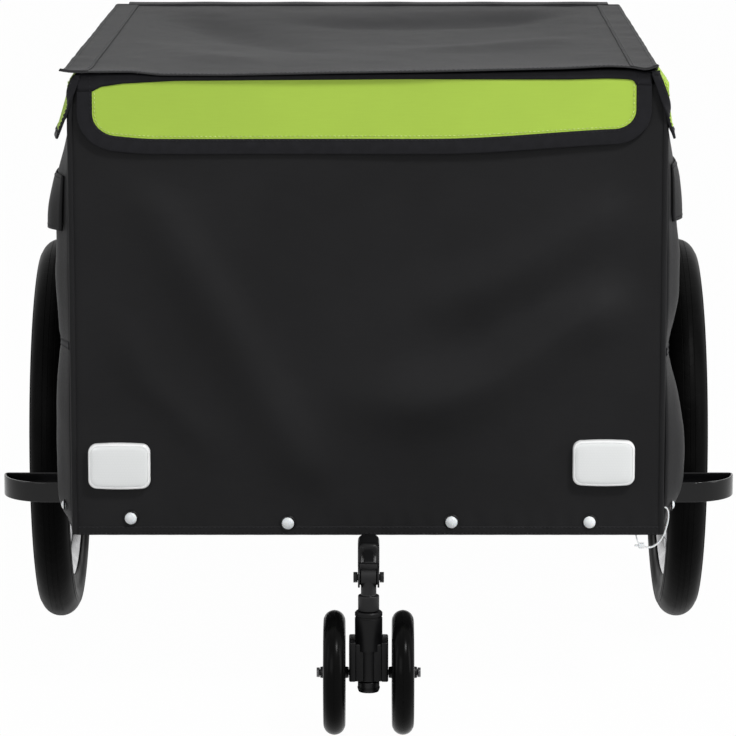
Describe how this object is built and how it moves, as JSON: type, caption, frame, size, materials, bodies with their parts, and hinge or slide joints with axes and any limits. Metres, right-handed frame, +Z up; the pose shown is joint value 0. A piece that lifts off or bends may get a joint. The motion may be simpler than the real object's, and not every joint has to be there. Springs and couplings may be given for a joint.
{
  "type": "child bike trailer",
  "caption": "Boxed cloth trailer for a bicycle, with a hinged roof cover, spoked side wheels, a folding swivel caster in front and a telescopic tow bar.",
  "frame": {"origin": "on the ground below the middle of the whole trailer's box", "axes": "+Z up, the front of the trailer looks along -Y, +X is the right side seen from the front"},
  "size_m": [0.732, 0.9682, 0.6178],
  "materials": {
    "black_cloth": "coated polyester, matt black",
    "roof_cloth": "coated polyester, dark grey",
    "green_cloth": "polyester, light green with black binding",
    "black_steel": "black powder coat",
    "bright_steel": "zinc plated",
    "rim_alloy": "satin silver",
    "tyre_rubber": "black rubber",
    "black_plastic": "black moulded plastic",
    "white_lens": "white reflector lens",
    "red_lens": "red reflector lens",
    "seat_cloth": "dark grey polyester",
    "webbing": "black woven webbing",
    "plywood": "black stained plywood"
  },
  "bodies": {
    "chassis": {"base_rail_left": "black_steel", "base_rail_right": "black_steel", "base_rail_front": "black_steel", "base_rail_rear": "black_steel", "cross_tube_front": "black_steel", "cross_tube_rear": "black_steel", "top_rail_left": "black_steel", "top_rail_right": "black_steel", "top_rail_front": "black_steel", "top_rail_rear": "black_steel", "post_front_left": "black_steel", "post_front_right": "black_steel", "post_rear_left": "black_steel", "post_rear_right": "black_steel", "floor_board": "plywood", "front_panel": "black_cloth", "rear_panel": "black_cloth", "side_panel_left": "black_cloth", "side_panel_right": "black_cloth", "reflector_front_left": "white_lens", "reflector_front_right": "white_lens", "reflector_rear_left": "red_lens", "reflector_rear_right": "red_lens", "axle_bracket_left": "black_steel", "axle_bracket_right": "black_steel", "bumper_left": "black_steel", "bumper_right": "black_steel", "front_arm": "black_steel", "caster_pivot_bolt": "bright_steel", "rear_skirt": "green_cloth", "hinge_clip_left": "black_plastic", "hinge_clip_right": "black_plastic", "tow_receiver": "black_steel", "seat_hoop": "black_steel", "seat_sling": "seat_cloth", "seat_pad": "seat_cloth", "back_pad": "seat_cloth", "shoulder_strap_left": "webbing", "shoulder_strap_right": "webbing", "harness_buckle": "black_plastic"},
    "main_wheel_left": {"tyre_left": "tyre_rubber", "wheel_left": "rim_alloy"},
    "main_wheel_right": {"tyre_right": "tyre_rubber", "wheel_right": "rim_alloy"},
    "folding_leg": {"caster_leg": "black_steel"},
    "swivel": {"caster_carrier": "black_plastic", "caster_axle": "bright_steel"},
    "caster_wheel_left": {"caster_tyre_left": "tyre_rubber", "caster_hub_left": "black_plastic"},
    "caster_wheel_right": {"caster_tyre_right": "tyre_rubber", "caster_hub_right": "black_plastic"},
    "lid": {"roof_hoop": "black_steel", "roof_panel": "roof_cloth", "front_skirt": "green_cloth", "side_skirt_left": "green_cloth", "side_skirt_right": "green_cloth"},
    "tow_outer": {"tow_bar_outer": "black_steel"},
    "tow_inner": {"tow_bar_inner": "black_steel"},
    "coupler": {"hitch_coupler": "black_steel"},
    "pin": {"hitch_pin": "bright_steel"}
  },
  "joints": [
    {"name": "wheel_left_spin", "type": "hinge", "parent": "chassis", "child": "main_wheel_left", "pos_m": [-0.3257, 0.07485, 0.2], "axis": [1, 0, 0], "continuous": true},
    {"name": "wheel_right_spin", "type": "hinge", "parent": "chassis", "child": "main_wheel_right", "pos_m": [0.3257, 0.07485, 0.2], "axis": [1, 0, 0], "continuous": true},
    {"name": "caster_fold", "type": "hinge", "parent": "chassis", "child": "folding_leg", "pos_m": [0, -0.43915, 0.1545], "axis": [1, 0, 0], "range_deg": [-100, 0]},
    {"name": "caster_swivel", "type": "hinge", "parent": "folding_leg", "child": "swivel", "pos_m": [0, -0.43915, 0.09], "axis": [0, 0, 1], "continuous": true},
    {"name": "caster_wheel_left_spin", "type": "hinge", "parent": "swivel", "child": "caster_wheel_left", "pos_m": [-0.0324, -0.42515, 0.059], "axis": [1, 0, 0], "continuous": true},
    {"name": "caster_wheel_right_spin", "type": "hinge", "parent": "swivel", "child": "caster_wheel_right", "pos_m": [0.0324, -0.42515, 0.059], "axis": [1, 0, 0], "continuous": true},
    {"name": "lid_hinge", "type": "hinge", "parent": "chassis", "child": "lid", "pos_m": [0, 0.46295, 0.6101], "axis": [-1, 0, 0], "range_deg": [0, 105]},
    {"name": "tow_outer_slide", "type": "slide", "parent": "chassis", "child": "tow_outer", "axis": [0, -1, 0], "range_m": [0, 0.42]},
    {"name": "tow_inner_slide", "type": "slide", "parent": "tow_outer", "child": "tow_inner", "axis": [0, -1, 0], "range_m": [0, 0.4]},
    {"name": "coupler_turn", "type": "hinge", "parent": "tow_inner", "child": "coupler", "pos_m": [-0.15, -0.14015, 0.15], "axis": [0, 0, 1], "range_deg": [-35, 35]},
    {"name": "hitch_pin_lift", "type": "slide", "parent": "coupler", "child": "pin", "axis": [0, 0, 1], "range_m": [0, 0.022]}
  ]
}
